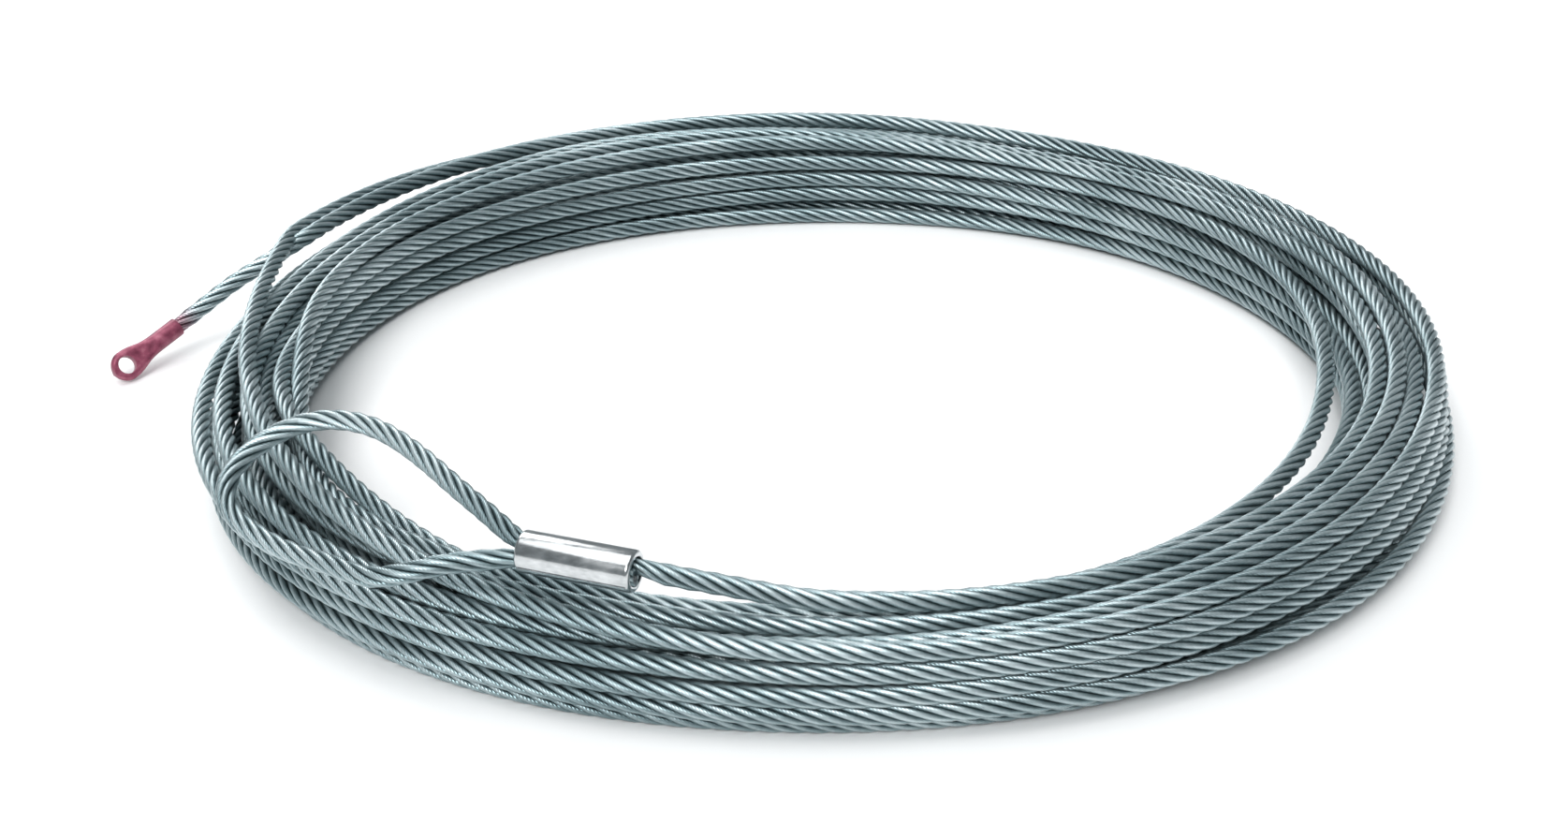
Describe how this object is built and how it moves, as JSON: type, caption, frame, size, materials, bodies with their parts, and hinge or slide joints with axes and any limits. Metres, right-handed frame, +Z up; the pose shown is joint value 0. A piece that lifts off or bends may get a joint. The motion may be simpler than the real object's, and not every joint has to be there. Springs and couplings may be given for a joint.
{
  "type": "coiled winch wire rope with soft eye",
  "caption": "Hand-coiled steel winch wire rope: loose coil, bare soft eye closed by a pressed ferrule, and a tail with a small crimped ring terminal.",
  "frame": {"origin": "bottom centre of the whole object's box, on the surface that the rope lies on", "axes": "+Z up; +X across the coil away from the drum terminal; the eye and its ferrule lie on the -Y side of the coil"},
  "size_m": [0.6016, 0.552, 0.0745],
  "materials": {
    "galvanised_rope": "zinc coated drawn wire, dull blue-grey with bright wire crowns",
    "pressed_metal": "pressed bare metal, satin with a soft sheen",
    "maroon_coated": "thin coloured coating on metal, satin"
  },
  "bodies": {
    "root": {"rope_coil": "galvanised_rope", "rope_lead": "galvanised_rope", "rope_eye": "galvanised_rope", "rope_tail": "galvanised_rope", "eye_ferrule": "pressed_metal", "live_run_in_ferrule": "galvanised_rope", "dead_end_in_ferrule": "galvanised_rope", "drum_terminal": "maroon_coated", "tail_core_strand": "galvanised_rope", "tail_outer_strands": "galvanised_rope"}
  },
  "joints": []
}
